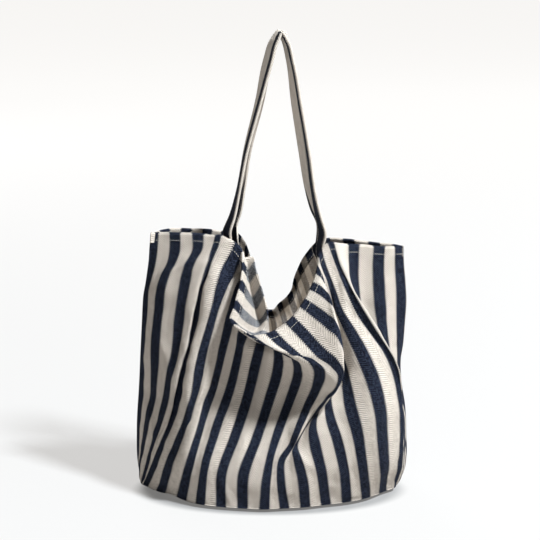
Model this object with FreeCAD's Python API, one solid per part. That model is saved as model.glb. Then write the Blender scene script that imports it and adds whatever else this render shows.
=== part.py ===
import FreeCAD, Part
import math
import os

# Striped herringbone canvas tote bag, open at the top, unlined, with two narrow
# shoulder straps drawn up to one point.  Millimetres, +Z up, the front faces -Y.
# The origin is on the floor below the middle of the bag.

# ---- driving dimensions -------------------------------------------------------

CLOTH = 2.0                 # thickness of a body panel
HEM_CLOTH = 1.2             # thickness of the turned-in hem
HEM_DEPTH = 12.0            # how far the hem is turned down inside the mouth
HEM_STITCH_DROP = 9.5       # hem stitch row, measured down from the rim
CLEARANCE = 0.1             # air between two layers that are sewn together

BASE_HALF_WIDTH = 172.0
BASE_HALF_DEPTH = 80.0
BASE_SQUARENESS = 2.8       # 2 is an ellipse, larger values square the corners

STRAP_WIDTH = 22.0
STRAP_THICKNESS = 2.6
STRAP_LEFT_X = -57.0        # where the left and right strap legs leave the rim
STRAP_RIGHT_X = 75.0
STRAP_RIM_Y = 30.0          # distance of the rim from the middle at the strap legs
STRAP_RIM_Z = 366.0         # height of the rim at the strap legs
HINGE_RISE = 7.0            # the strap folds this far above the rim
STRAP_START = 1.0           # the moving strap begins this far above the fold line
PEAK_X = 14.0
PEAK_Y = 12.5
PEAK_Z = 650.0
STRAP_END_LENGTH = 34.0     # length of strap sewn inside the bag
SHOULDER_DROP = 6.0         # the legs close up this far below the peak
SHOULDER_SPREAD = 5.0       # half the distance between the two legs there
LEG_BOW = 3.0               # how far a leg bows in halfway up
TWIST_END = 0.75            # share of a leg over which it turns edge-on
STRAP_STITCH_INSET = 2.5    # stitch rows of a strap, in from its edges
END_STITCH_INSET = 3.0      # stitched square of a sewn strap end, in from its edges
END_STITCH_HEIGHT = 16.0
THREAD = 0.7                # diameter of the sewing thread, laid as a flat row
STITCH_LIFT = 0.4           # the hem stitch row stands this far off the cloth

INSIDE = -CLOTH / 2         # the two faces of a panel, from its middle surface
OUTSIDE = CLOTH / 2
HEM_BACK = CLEARANCE + HEM_CLOTH            # far face of the hem, from the panel
STRAP_END_FRONT = HEM_BACK + 0.7            # faces of a sewn strap end, the same way
STRAP_END_BACK = STRAP_END_FRONT + STRAP_THICKNESS

SEAM_WIDTH = 10.0           # seam allowance standing inwards
SEAM_THICKNESS = 1.8
SEAM_INSET = 3.0            # start of a side seam allowance, in from the seam
BASE_SEAM_INSET = 5.0       # the same around the base

COLUMNS = 44                # sampling of the body surface, along and up the panel
ROWS = 12

# Body sections below the mouth: share of the height, half width, half depth.
SECTIONS = [
    (0.00, 172.0, 80.0),
    (0.07, 184.0, 89.0),
    (0.22, 194.0, 95.0),
    (0.45, 191.0, 95.0),
    (0.68, 182.0, 84.0),
    (0.86, 176.0, 62.0),
    (1.00, 174.0, 40.0),
]

# Rim of each panel, left seam to right seam: share of the panel width, X,
# distance from the middle in Y, Z.  The middle of each rim sags between the
# strap legs.
FRONT_RIM = [
    (0.00, -164.0, 0.0, 371.0),
    (0.05, -144.0, 10.0, 370.0),
    (0.13, -103.0, 22.0, 367.0),
    (0.19, -72.0, 29.0, 366.0),
    (0.24, -46.0, 31.0, 365.0),
    (0.30, -36.0, 45.0, 338.0),
    (0.38, -30.0, 66.0, 298.0),
    (0.46, -16.0, 84.0, 264.0),
    (0.51, 2.0, 88.0, 257.0),
    (0.58, 28.0, 78.0, 277.0),
    (0.67, 48.0, 54.0, 318.0),
    (0.75, 64.0, 31.0, 362.0),
    (0.79, 86.0, 29.0, 366.0),
    (0.86, 116.0, 22.0, 364.0),
    (0.95, 163.0, 9.0, 359.0),
    (1.00, 184.0, 0.0, 357.0),
]

BACK_RIM = [
    (0.00, -164.0, 0.0, 371.0),
    (0.05, -144.0, 10.0, 370.0),
    (0.13, -103.0, 22.0, 367.0),
    (0.19, -72.0, 29.0, 366.0),
    (0.24, -46.0, 31.0, 365.0),
    (0.31, -33.0, 38.0, 338.0),
    (0.40, -20.0, 50.0, 292.0),
    (0.48, -6.0, 58.0, 258.0),
    (0.53, 8.0, 58.0, 256.0),
    (0.61, 30.0, 50.0, 286.0),
    (0.68, 48.0, 40.0, 328.0),
    (0.75, 64.0, 31.0, 362.0),
    (0.79, 86.0, 29.0, 366.0),
    (0.86, 116.0, 22.0, 364.0),
    (0.95, 163.0, 9.0, 359.0),
    (1.00, 184.0, 0.0, 357.0),
]


# ---- small helpers ------------------------------------------------------------

def vec(x, y, z):
    return FreeCAD.Vector(x, y, z)


def smooth(t):
    t = min(1.0, max(0.0, t))
    return t * t * (3.0 - 2.0 * t)


def table(rows, key, column):
    """Smoothly read one column of a table at the given key."""
    for before, after in zip(rows, rows[1:]):
        if key <= after[0]:
            share = (key - before[0]) / (after[0] - before[0])
            return before[column] + (after[column] - before[column]) * share
    return rows[-1][column]


def catmull(rows, key, column):
    """Read one column of a table at the given key along a rounded curve."""
    last = len(rows) - 1
    index = 0
    while index < last - 1 and key > rows[index + 1][0]:
        index += 1
    start, end = rows[index], rows[index + 1]
    before = rows[max(index - 1, 0)]
    after = rows[min(index + 2, last)]
    span = end[0] - start[0]
    t = min(1.0, max(0.0, (key - start[0]) / span))
    slope_in = (end[column] - before[column]) / (end[0] - before[0]) * span
    slope_out = (after[column] - start[column]) / (after[0] - start[0]) * span
    return ((2 * t ** 3 - 3 * t ** 2 + 1) * start[column]
            + (t ** 3 - 2 * t ** 2 + t) * slope_in
            + (-2 * t ** 3 + 3 * t ** 2) * end[column]
            + (t ** 3 - t ** 2) * slope_out)


def oval_half(half_width, half_depth, samples=400):
    """Points of half an oval, left to right, equally spaced along its length."""
    power = 2.0 / BASE_SQUARENESS
    fine = []
    for i in range(samples + 1):
        angle = math.pi * (1.0 - i / samples)
        c, s = math.cos(angle), max(0.0, math.sin(angle))
        x = half_width * math.copysign(abs(c) ** power, c)
        fine.append((x, half_depth * s ** power))
    lengths = [0.0]
    for a, b in zip(fine, fine[1:]):
        lengths.append(lengths[-1] + math.hypot(b[0] - a[0], b[1] - a[1]))
    return fine, lengths


def along(fine, lengths, share):
    """Point of a sampled curve at a share of its length."""
    wanted = share * lengths[-1]
    for i in range(1, len(lengths)):
        if wanted <= lengths[i]:
            t = (wanted - lengths[i - 1]) / (lengths[i] - lengths[i - 1])
            a, b = fine[i - 1], fine[i]
            return a[0] + (b[0] - a[0]) * t, a[1] + (b[1] - a[1]) * t
    return fine[-1]


# ---- surface of a body panel ---------------------------------------------------

class Panel:
    """Middle surface of one body panel.  side is -1 for the front, +1 for the back."""

    MOUTH_START = 0.55      # share of the height where the mouth shape takes over
    FOOT = CLOTH + 3 * CLEARANCE

    def __init__(self, side, rim):
        self.side = side
        self.rim = rim
        self.ovals = {}
        self.faces = {}

    def oval(self, v):
        key = round(v, 5)
        if key not in self.ovals:
            half_width = table(SECTIONS, v, 1)
            half_depth = table(SECTIONS, v, 2)
            self.ovals[key] = oval_half(half_width - CLOTH / 2, half_depth - CLOTH / 2)
        return self.ovals[key]

    def point(self, u, v):
        x_oval, y_oval = along(*self.oval(v), u)
        x_rim, y_rim, z_rim = [catmull(self.rim, u, column) for column in (1, 2, 3)]
        mix = smooth((v - self.MOUTH_START) / (1.0 - self.MOUTH_START))
        x = x_oval + (x_rim - x_oval) * mix
        y = y_oval + (y_rim - y_oval) * mix
        z = self.FOOT + (z_rim - self.FOOT) * v
        return vec(x, self.side * max(y, CLEARANCE), z)

    def normal(self, u, v):
        """Outward direction; it points along X on the side seams."""
        if u < 1e-6 or u > 1.0 - 1e-6:
            return vec(math.copysign(1.0, u - 0.5), 0.0, 0.0)
        step = 2e-3
        across = self.point(min(1.0, u + step), v) - self.point(max(0.0, u - step), v)
        up = self.point(u, min(1.0, v + step)) - self.point(u, max(0.0, v - step))
        direction = across.cross(up) * (-self.side)
        if v < 1e-6:
            direction.z = 0.0
        return direction.normalize()

    def grid(self, distance):
        """Points of the whole panel at a distance outside its middle surface."""
        return [[self.point(u, v) + self.normal(u, v) * distance
                 for v in shares(0.0, 1.0, ROWS)] for u in shares(0.0, 1.0, COLUMNS)]

    def face(self, distance):
        if distance not in self.faces:
            self.faces[distance] = surface(self.grid(distance))
        return self.faces[distance]

    def on_face(self, distance, u, v, lift):
        """Point lifted outwards from the inner or outer face of the cloth."""
        face = self.face(distance)
        normal = face.normal(u, v)
        outwards = self.face(OUTSIDE).value(u, v) - self.face(INSIDE).value(u, v)
        if normal.dot(outwards) < 0:
            normal = normal * -1.0
        return face.value(u, v) + normal * lift

    def below_rim(self, u, drop):
        """Height share of the point a given distance below the rim."""
        face = self.face(-CLOTH / 2)
        reach = (face.value(u, 1.0) - face.value(u, 0.97)).Length / 0.03
        return 1.0 - drop / reach


# ---- solids ------------------------------------------------------------------

def surface(grid):
    spline = Part.BSplineSurface()
    spline.interpolate(grid)
    return spline


def boundary(spline):
    u0, u1, v0, v1 = spline.bounds()
    return [spline.uIso(u0), spline.uIso(u1), spline.vIso(v0), spline.vIso(v1)]


def solid_between(inner_grid, outer_grid):
    """Closed solid between two point grids of the same size."""
    inner, outer = surface(inner_grid), surface(outer_grid)
    faces = [inner.toShape(), outer.toShape()]
    for a, b in zip(boundary(inner), boundary(outer)):
        faces.append(Part.makeRuledSurface(a.toShape(), b.toShape()))
    shell = Part.Shell(faces)
    shell.sewShape()
    solid = Part.Solid(shell)
    if solid.Volume < 0:
        solid.reverse()
    return solid


def patch(panel, face, u_shares, rows_at, inner, outer):
    """Solid laid along one face of a panel, between two lifts from that face.

    rows_at(u) gives the height shares of its rows."""
    def grid(lift):
        return [[panel.on_face(face, u, v, lift) for v in rows_at(u)] for u in u_shares]
    return solid_between(grid(inner), grid(outer))


def shares(start, end, count):
    return [start + (end - start) * i / (count - 1) for i in range(count)]


def box_section(centre, width_way, thick_way, width, thickness):
    """Closed rectangular wire around a centre."""
    w, t = width_way * (width / 2), thick_way * (thickness / 2)
    corners = [centre - w - t, centre + w - t, centre + w + t, centre - w + t]
    return Part.makePolygon(corners + corners[:1])


def loft(wires, ruled=False):
    return Part.makeLoft(wires, True, ruled)


# ---- body ----------------------------------------------------------------------

def make_panel(panel):
    return solid_between(panel.grid(INSIDE), panel.grid(OUTSIDE))


def make_hem(panel):
    return patch(panel, INSIDE, shares(0.03, 0.97, 3 * COLUMNS),
                 lambda u: [panel.below_rim(u, d) for d in (HEM_DEPTH, HEM_DEPTH / 2, 0.3)],
                 -HEM_BACK, -CLEARANCE)


def make_hem_stitches(panel):
    low, high = HEM_STITCH_DROP + THREAD / 2, HEM_STITCH_DROP - THREAD / 2
    return patch(panel, OUTSIDE, shares(0.03, 0.97, 3 * COLUMNS),
                 lambda u: [panel.below_rim(u, d) for d in (low, high)],
                 STITCH_LIFT, STITCH_LIFT + THREAD / 2)


def make_base():
    fine, _ = oval_half(BASE_HALF_WIDTH, BASE_HALF_DEPTH, 48)
    loop = [vec(x, -y, 0.0) for x, y in fine] + [vec(x, y, 0.0) for x, y in reversed(fine[1:-1])]
    curve = Part.BSplineCurve()
    curve.interpolate(loop, PeriodicFlag=True)
    face = Part.Face(Part.Wire(curve.toShape()))
    return face.extrude(vec(0, 0, CLOTH))


def make_base_seam():
    """Seam allowance standing up around the inside of the base."""
    loops = []
    for inset in (BASE_SEAM_INSET, BASE_SEAM_INSET + SEAM_THICKNESS):
        fine, _ = oval_half(BASE_HALF_WIDTH - inset, BASE_HALF_DEPTH - inset, 48)
        loop = [vec(x, -y, 0.0) for x, y in fine]
        loop += [vec(x, y, 0.0) for x, y in reversed(fine[1:-1])]
        curve = Part.BSplineCurve()
        curve.interpolate([p + vec(0, 0, CLOTH + CLEARANCE) for p in loop], PeriodicFlag=True)
        loops.append(Part.Face(Part.Wire(curve.toShape())).extrude(vec(0, 0, SEAM_WIDTH)))
    return loops[0].cut(loops[1])


def make_side_seam(panel, end):
    """Seam allowance standing inwards along one side seam."""
    inwards = vec(1.0 if end == 0.0 else -1.0, 0.0, 0.0)
    wires = []
    for v in shares(0.06, 0.86, 9):
        seam = panel.point(end, v)
        seam.y = 0.0
        reach = SEAM_INSET + SEAM_WIDTH / 2
        wires.append(box_section(seam + inwards * reach, inwards, vec(0, 1, 0),
                                 SEAM_WIDTH, SEAM_THICKNESS))
    return loft(wires)


# ---- straps --------------------------------------------------------------------

def strap_frames(side):
    """Centre line of one moving strap with the direction of its width.

    The strap leaves the rim flat against the panel and turns a quarter twist on
    its way up, so that it passes over the peak edge to edge with its twin."""
    rim_y, peak_y = side * STRAP_RIM_Y, side * PEAK_Y
    foot_z = STRAP_RIM_Z + HINGE_RISE + STRAP_START
    shoulder_z = PEAK_Z - SHOULDER_DROP
    legs = []
    for leg_x in (STRAP_LEFT_X, STRAP_RIGHT_X):
        outward = math.copysign(1.0, leg_x - PEAK_X)
        shoulder_x = PEAK_X + outward * SHOULDER_SPREAD
        leg = []
        for t in shares(0.0, 1.0, 12):
            x = leg_x + (shoulder_x - leg_x) * t - outward * LEG_BOW * math.sin(math.pi * t)
            y = rim_y + (peak_y - rim_y) * t
            z = foot_z + (shoulder_z - foot_z) * t
            turn = math.radians(90.0) * smooth(t / TWIST_END)
            width_way = vec(-outward * math.cos(turn), side * math.sin(turn), 0.0)
            leg.append((vec(x, y, z), width_way))
        legs.append(leg)
    crown = (vec(PEAK_X, peak_y, PEAK_Z - STRAP_THICKNESS / 2), vec(0.0, side, 0.0))
    return legs[0] + [crown] + legs[1][::-1]


def strap_wires(side, width_shift, width, thickness, lift):
    """Rectangular sections along a strap; the ends are cut level."""
    frames = strap_frames(side)
    last = len(frames) - 1
    wires = []
    for i, (centre, width_way) in enumerate(frames):
        path = frames[min(i + 1, last)][0] - frames[max(i - 1, 0)][0]
        if i in (0, last):
            path = vec(0.0, 0.0, 1.0 if i == 0 else -1.0)
        path.normalize()
        way = (width_way - path * width_way.dot(path)).normalize()
        thick_way = path.cross(way).normalize()
        spot = centre + way * width_shift + thick_way * lift
        wires.append(box_section(spot, way, thick_way, width, thickness))
    return wires


def make_strap(side):
    return loft(strap_wires(side, 0.0, STRAP_WIDTH, STRAP_THICKNESS, 0.0), ruled=True)


def make_strap_stitches(side, edge):
    shift = edge * (STRAP_WIDTH / 2 - STRAP_STITCH_INSET)
    lift = STRAP_THICKNESS / 2 + THREAD / 4 + CLEARANCE
    return loft(strap_wires(side, shift, THREAD, THREAD / 2, lift), ruled=True)


def strap_share(panel, leg_x):
    """Share of the panel width where a strap leg leaves the rim."""
    face = panel.face(INSIDE)
    return min(shares(0.0, 1.0, 2001), key=lambda u: abs(face.value(u, 1.0).x - leg_x))


def make_strap_end(panel, leg_x):
    """Strap end sewn behind the hem, its top just showing above the rim."""
    centre = strap_share(panel, leg_x)
    near = strap_share(panel, leg_x - STRAP_WIDTH / 2)
    far = strap_share(panel, leg_x + STRAP_WIDTH / 2)

    def column(u, lift):
        drops = shares(STRAP_END_LENGTH, 2.0, 5)
        points = [panel.on_face(INSIDE, u, panel.below_rim(u, d), lift) for d in drops]
        top = points[-1] + vec(0.0, 0.0, HINGE_RISE - 1.0)
        return points + [top]

    u_shares = shares(near, centre, 3) + shares(centre, far, 3)[1:]
    return solid_between([column(u, -STRAP_END_BACK) for u in u_shares],
                         [column(u, -STRAP_END_FRONT) for u in u_shares])


def make_strap_end_stitches(panel, leg_x):
    """Square of stitching that holds one strap end."""
    half = STRAP_WIDTH / 2 - END_STITCH_INSET
    near, far = strap_share(panel, leg_x - half), strap_share(panel, leg_x + half)
    low, high = HEM_DEPTH + END_STITCH_HEIGHT, HEM_DEPTH

    def block(inset, spare):
        u_inset = (far - near) * inset / (2 * half)
        u_shares = shares(near + u_inset, far - u_inset, 4)
        rows = (low - inset, (low + high) / 2, high + inset)
        return patch(panel, INSIDE, u_shares,
                     lambda u: [panel.below_rim(u, d) for d in rows],
                     -STRAP_END_BACK - 2 * CLEARANCE - THREAD / 2 - spare,
                     -STRAP_END_BACK - 2 * CLEARANCE + spare)

    return block(0.0, 0.0).cut(block(THREAD, 1.0))


# ---- write the parts -------------------------------------------------------------

def build():
    front, back = Panel(-1, FRONT_RIM), Panel(1, BACK_RIM)
    parts = {"base_panel": make_base(), "base_seam_allowance": make_base_seam()}
    parts["left_side_seam_allowance"] = make_side_seam(front, 0.0)
    parts["right_side_seam_allowance"] = make_side_seam(front, 1.0)
    for name, side, panel in (("front", -1, front), ("back", 1, back)):
        parts[name + "_panel"] = make_panel(panel)
        parts[name + "_hem"] = make_hem(panel)
        parts[name + "_hem_stitches"] = make_hem_stitches(panel)
        parts[name + "_strap"] = make_strap(side)
        parts[name + "_strap_inner_stitches"] = make_strap_stitches(side, -1)
        parts[name + "_strap_outer_stitches"] = make_strap_stitches(side, 1)
        for hand, leg_x in (("left", STRAP_LEFT_X), ("right", STRAP_RIGHT_X)):
            label = name + "_" + hand + "_strap_end"
            parts[label] = make_strap_end(panel, leg_x)
            parts[label + "_stitches"] = make_strap_end_stitches(panel, leg_x)
    return parts


os.makedirs("parts", exist_ok=True)
for node, shape in build().items():
    shape.exportStep(os.path.join("parts", node + ".step"))
    print(node, len(shape.Solids), round(shape.Volume), shape.isValid(), shape.BoundBox)
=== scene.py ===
import math

import bpy
import numpy as np
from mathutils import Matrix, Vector, noise


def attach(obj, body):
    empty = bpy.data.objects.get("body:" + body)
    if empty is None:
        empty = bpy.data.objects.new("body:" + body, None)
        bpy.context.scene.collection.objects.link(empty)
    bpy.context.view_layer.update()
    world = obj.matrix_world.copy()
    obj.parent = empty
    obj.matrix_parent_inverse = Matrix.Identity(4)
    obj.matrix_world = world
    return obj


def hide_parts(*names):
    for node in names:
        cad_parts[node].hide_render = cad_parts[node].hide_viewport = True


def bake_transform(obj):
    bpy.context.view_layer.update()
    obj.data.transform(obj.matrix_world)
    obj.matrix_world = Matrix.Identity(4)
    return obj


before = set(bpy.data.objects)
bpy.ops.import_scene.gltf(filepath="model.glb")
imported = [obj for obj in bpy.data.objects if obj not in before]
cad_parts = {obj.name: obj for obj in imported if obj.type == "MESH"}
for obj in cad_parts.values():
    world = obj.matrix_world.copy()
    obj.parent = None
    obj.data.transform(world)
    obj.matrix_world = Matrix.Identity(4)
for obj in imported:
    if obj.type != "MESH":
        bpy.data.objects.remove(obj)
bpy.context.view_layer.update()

# Striped herringbone canvas tote, drawn up by its two straps and slumped, so that
# the middle of the mouth dips and its front edge rolls outwards.
# Lengths are in metres; the tables are in millimetres and are scaled by MM where they
# are read.  Stripe numbers count pairs of stripes from the left seam: a navy stripe is
# centred on every whole number, a cream one on every half.

MM = 0.001

# ---- driving dimensions ---------------------------------------------------------

CLOTH = 1.8 * MM            # thickness of the canvas
PERIOD = 27.5 * MM          # one navy and one cream stripe
RIB = 3.1 * MM              # pitch of the herringbone ribs
HEM_TURN = 1.2 * MM         # radius of the turned edge of the mouth
HEM_DEPTH = 12.0 * MM       # how far the hem runs down inside the mouth
HEM_STITCH_DROP = 9.0 * MM
STITCH = 3.0 * MM           # length of one stitch
STITCH_GAP = 1.0 * MM
THREAD = 0.6 * MM           # thickness of the sewing thread
FLOOR_GAP = 3.2 * MM        # height of the base seam above the floor
DEEPEST = -106.0 * MM       # limit on the front's smooth shape, before it is crumpled
BASE_SAG = 2.0 * MM         # how far the base hangs below its seam
BASE_SAG_REACH = 7.0 * MM   # distance in from the seam over which it sags
SEAM_GAP = 1.2 * MM         # a seam allowance stands off its seam line by this
SIDE_SEAM_WIDTH = 10.0 * MM
BASE_SEAM_WIDTH = 9.0 * MM
SEAM_CLOTH = 1.4 * CLOTH    # two allowances pressed together

FRONT_CRUMPLE, FRONT_SEED = 2.3 * MM, 3.7
BACK_CRUMPLE, BACK_SEED = 2.2 * MM, 8.3
WRINKLES = ((36 * MM, 1.0), (17 * MM, 0.55), (8 * MM, 0.2))    # size and share of each

COLUMNS = 264               # sampling of a panel, across and down
ROWS = 166
FOLD_ROWS = (0.22, 0.32)    # share of the rows where the fold starts and ends

# Courses down the front panel, left seam to right seam, most of them on a navy stripe.
# Stripe number, then X, Y, Z above the fold, inside the fold and below the fold.
FRONT_COURSES = [
    (-0.12, [(-165, 0, 374), (-167, 1, 354), (-169, 3, 333), (-174, 6, 302)],
     [(-178, 8, 280)],
     [(-181, 10, 240), (-187, 15, 156), (-193, 20, 78), (-193, 22, 27), (-189, 20, 2)]),
    (1, [(-131, -10, 376), (-131, -10, 353), (-135, -11, 334), (-145, -13, 316)],
     [(-152, -15, 295)],
     [(-156, -16, 262), (-160, -18, 212), (-166, -18, 140), (-177, -15, 88), (-187, -6, 40),
      (-188, 4, 2)]),
    (2, [(-99, -18, 377), (-99, -21, 357), (-108, -25, 339), (-114, -28, 321)],
     [(-118, -31, 299)],
     [(-123, -33, 268), (-129, -37, 220), (-144, -40, 157), (-152, -38, 122), (-166, -26, 73),
      (-186, -5, 4)]),
    (2.75, [(-75, -25, 376), (-79, -28, 362), (-85, -32, 346), (-91, -37, 329)],
     [(-97, -41, 307)],
     [(-104, -44, 274), (-115, -49, 223), (-128, -52, 172), (-138, -50, 127), (-155, -38, 82),
      (-183, -10, 5)]),
    (3, [(-71, -26, 377), (-75, -27, 362), (-81, -29, 345), (-87, -33, 328)],
     [(-94, -36, 306)],
     [(-101, -38, 273), (-112, -43, 221), (-124, -47, 170), (-135, -47, 126), (-150, -38, 81),
      (-181, -12, 5)]),
    (3.25, [(-66, -27, 376), (-70, -30, 362), (-77, -34, 346), (-84, -40, 330)],
     [(-90, -44, 308)],
     [(-96, -48, 275), (-108, -54, 224), (-119, -58, 174), (-130, -57, 130), (-145, -46, 84),
      (-175, -18, 5)]),
    (4, [(-42, -33, 362), (-46, -33, 353), (-50, -34, 345), (-56, -38, 334)],
     [(-62, -44, 319)],
     [(-69, -51, 296), (-83, -58, 253), (-96, -64, 205), (-101, -67, 167), (-116, -68, 121),
      (-137, -58, 66), (-156, -34, 4)]),
    (4.5, [(-39, -39, 349), (-37, -38, 345), (-33, -34, 339), (-25, -32, 349)],
     [(-30, -26, 340), (-37, -30, 330)],
     [(-45, -37, 326), (-60, -49, 293), (-71, -55, 252), (-87, -64, 190), (-100, -71, 139),
      (-119, -73, 84), (-140, -46, 7)]),
    (5, [(-39, -47, 338), (-35, -41, 329), (-30, -34, 322), (-20, -38, 335)],
     [(-25, -27, 322), (-36, -31, 312)],
     [(-46, -40, 303), (-54, -44, 266), (-65, -48, 225), (-78, -54, 171), (-93, -64, 125),
      (-107, -72, 77), (-124, -58, 4)]),
    (6, [(-42, -58, 316), (-31, -49, 298), (-21, -38, 285), (-10, -45, 304)],
     [(-12, -31, 285), (-28, -36, 263)],
     [(-38, -46, 242), (-43, -48, 218), (-54, -54, 171), (-75, -70, 113), (-91, -82, 58), (-97, -77, 5)]),
    (7, [(-48, -70, 291), (-31, -60, 270), (-14, -45, 257), (-2, -51, 272)],
     [(-3, -38, 253), (-11, -42, 234)],
     [(-14, -50, 225), (-19, -50, 206), (-30, -56, 160), (-48, -74, 105), (-66, -88, 58), (-68, -85, 5)]),
    (8, [(-51, -83, 271), (-36, -76, 257), (-22, -66, 247), (-5, -62, 245)],
     [(4, -58, 237), (10, -57, 227)],
     [(12, -58, 216), (11, -54, 194), (0, -58, 155), (-19, -80, 102), (-36, -94, 58), (-38, -90, 5)]),
    (9, [(-28, -93, 256), (-11, -100, 247), (7, -105, 239), (20, -105, 232)],
     [(28, -98, 227), (34, -86, 219)],
     [(38, -74, 207), (38, -64, 189), (28, -62, 156), (8, -86, 107), (-3, -99, 60), (-8, -93, 5)]),
    (10, [(1, -89, 258), (17, -99, 244), (36, -107, 232), (53, -109, 227)],
     [(64, -106, 217), (67, -98, 202)],
     [(64, -88, 183), (52, -82, 151), (35, -94, 113), (30, -92, 98), (15, -95, 77), (14, -99, 54),
      (20, -90, 5)]),
    (11, [(27, -80, 273), (47, -93, 255), (68, -105, 234), (88, -109, 217)],
     [(96, -109, 204), (91, -102, 184)],
     [(80, -92, 169), (65, -82, 146), (44, -86, 116), (33, -90, 97), (38, -96, 79), (44, -97, 56),
      (49, -86, 5)]),
    (12, [(45, -71, 294), (60, -82, 286), (77, -94, 276), (90, -101, 264)],
     [(95, -99, 246), (93, -84, 216)],
     [(86, -76, 180), (71, -76, 147), (59, -86, 130), (62, -93, 98), (69, -93, 66), (78, -78, 5)]),
    (13, [(57, -59, 314), (66, -67, 312), (75, -76, 306), (83, -83, 296)],
     [(86, -80, 279), (85, -68, 235)],
     [(82, -68, 192), (78, -77, 162), (82, -85, 136), (91, -90, 109), (101, -88, 67), (107, -71, 6)]),
    (14, [(64, -47, 334), (68, -51, 330), (72, -54, 323), (75, -53, 311)],
     [(78, -50, 286), (89, -54, 244)],
     [(100, -66, 205), (105, -77, 180), (109, -84, 154), (118, -89, 120), (126, -86, 72), (135, -58, 6)]),
    (15, [(69, -37, 354), (71, -39, 343), (75, -43, 330), (83, -49, 310)],
     [(92, -57, 282)],
     [(108, -67, 255), (124, -77, 225), (138, -84, 193), (149, -87, 151), (154, -84, 106),
      (158, -72, 62), (160, -36, 5)]),
    (16, [(83, -29, 368), (90, -35, 349), (101, -44, 322), (114, -54, 294)],
     [(129, -60, 268)],
     [(145, -65, 245), (163, -68, 219), (175, -66, 187), (181, -62, 151), (184, -56, 104),
      (183, -46, 55), (180, -20, 6)]),
    (16.4, [(91, -28, 366), (97, -38, 343), (109, -48, 316), (121, -56, 295)],
     [(137, -62, 270)],
     [(153, -67, 244), (172, -68, 210), (179, -64, 187), (183, -58, 149), (187, -50, 90),
      (187, -38, 46), (179, -14, 3)]),
    (16.7, [(105, -23, 363), (105, -27, 341), (108, -31, 318), (115, -36, 295)],
     [(129, -41, 271)],
     [(144, -45, 245), (163, -46, 210), (176, -44, 184), (184, -41, 141), (189, -38, 85),
      (189, -30, 46), (181, -11, 3)]),
    (17, [(114, -20, 362), (114, -20, 339), (115, -22, 314), (119, -25, 290)],
     [(126, -28, 270)],
     [(134, -32, 242), (151, -34, 214), (170, -33, 180), (184, -32, 138), (190, -30, 88),
      (190, -24, 43), (183, -6, 2)]),
    (18, [(151, -12, 357), (150, -13, 333), (151, -14, 305), (153, -16, 276)],
     [(156, -17, 252)],
     [(160, -18, 226), (167, -18, 200), (178, -17, 170), (187, -14, 132), (193, -10, 80),
      (194, -4, 35), (186, 3, 2)]),
    (19.25, [(185, 0, 355), (186, 0, 334), (189, 1, 305), (191, 2, 274)],
     [(190, 4, 246)],
     [(189, 8, 218), (186, 13, 187), (188, 18, 156), (195, 22, 115), (198, 24, 73), (198, 22, 27),
      (189, 16, 2)]),
]

# Small creases of the front: stripe number and drop below the rim at one end, the same
# at the other end, width and height; drops, widths and heights are in millimetres.
CREASE_FADE = 0.3           # share of a crease's length over which each end fades
CREASES = [
    (3.4, 14, 1.6, 70, 5, 2.2), (3.7, 20, 2.6, 95, 5, -2.4), (3.9, 30, 3.3, 120, 5, 2.4),
    (2.6, 30, 0.8, 62, 5, 1.8), (4.4, 60, 5.3, 130, 6, 2.2), (1.2, 150, 2.4, 225, 7, 2.4),
    (2.4, 150, 3.3, 250, 6, -2.2), (3.2, 190, 4.6, 290, 7, 2.4), (0.5, 250, 2.2, 310, 7, 2.2),
    (12.3, 92, 13.2, 150, 5, 2.2), (12.0, 105, 13.6, 128, 5, -2.2), (11.8, 122, 10.4, 160, 6, 2.2),
    (16.0, 40, 15.0, 110, 6, 2.2), (15.2, 30, 14.4, 90, 5, -2.0), (18.2, 60, 17.6, 150, 8, 2.0),
    (10.5, 230, 12.0, 290, 7, 2.0), (7.0, 200, 6.2, 290, 8, 2.2),
]

# Rim of the back panel: stripe number, X, Y, Z.
BACK_RIM = [
    (-0.5, -161, 0, 374), (0.0, -147, 8, 377), (1.0, -117, 16, 377), (2.0, -88, 22, 375),
    (2.6, -73, 26, 372), (4.0, -44, 31, 366), (4.4, -38, 32, 358), (5.0, -32, 34, 344),
    (6.0, -25, 38, 318), (7.0, -19, 43, 291), (8.0, -12, 47, 266), (8.6, -5, 50, 252),
    (9.3, 5, 50, 250), (10.0, 14, 48, 260), (10.7, 24, 46, 271), (11.3, 31, 44, 282),
    (12.0, 34, 42, 295), (13.0, 42, 39, 319), (14.0, 54, 35, 340), (14.7, 70, 31, 357),
    (15.2, 84, 28, 361), (16.0, 111, 21, 361), (17.0, 146, 12, 358), (17.8, 172, 5, 357),
    (18.25, 185, 0, 355),
]

BASE_DEPTH = 66.0 * MM      # the base, from the side seams to the back
OVAL_POWER = 2 / 2.6        # squareness of the base oval
BELLY = 14.0 * MM           # how far the middle of the back bellies out
BACK_SWAY = 9.0 * MM        # sideways sway of the back's stripes

# Folds of the back: share of the width where the fold starts, lean, bow, width,
# height in millimetres, and the shares of the drop between which the fold shows.
BACK_FOLDS = [
    (0.17, -0.05, 0.03, 0.030, 6.0, 0.02, 0.85), (0.26, -0.10, 0.04, 0.022, -6.0, 0.02, 0.90),
    (0.33, -0.10, 0.05, 0.026, 8.0, 0.02, 0.95), (0.42, -0.06, 0.03, 0.026, -7.0, 0.05, 0.80),
    (0.47, 0.16, -0.08, 0.030, 9.0, 0.04, 0.92), (0.56, 0.14, -0.06, 0.024, -8.0, 0.05, 0.85),
    (0.64, 0.12, -0.05, 0.030, 9.0, 0.04, 0.95), (0.73, 0.08, -0.03, 0.024, -6.0, 0.02, 0.75),
    (0.84, 0.02, 0.02, 0.030, 6.0, 0.02, 0.85), (0.30, 0.30, 0.00, 0.035, 6.0, 0.45, 1.00),
]

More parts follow.
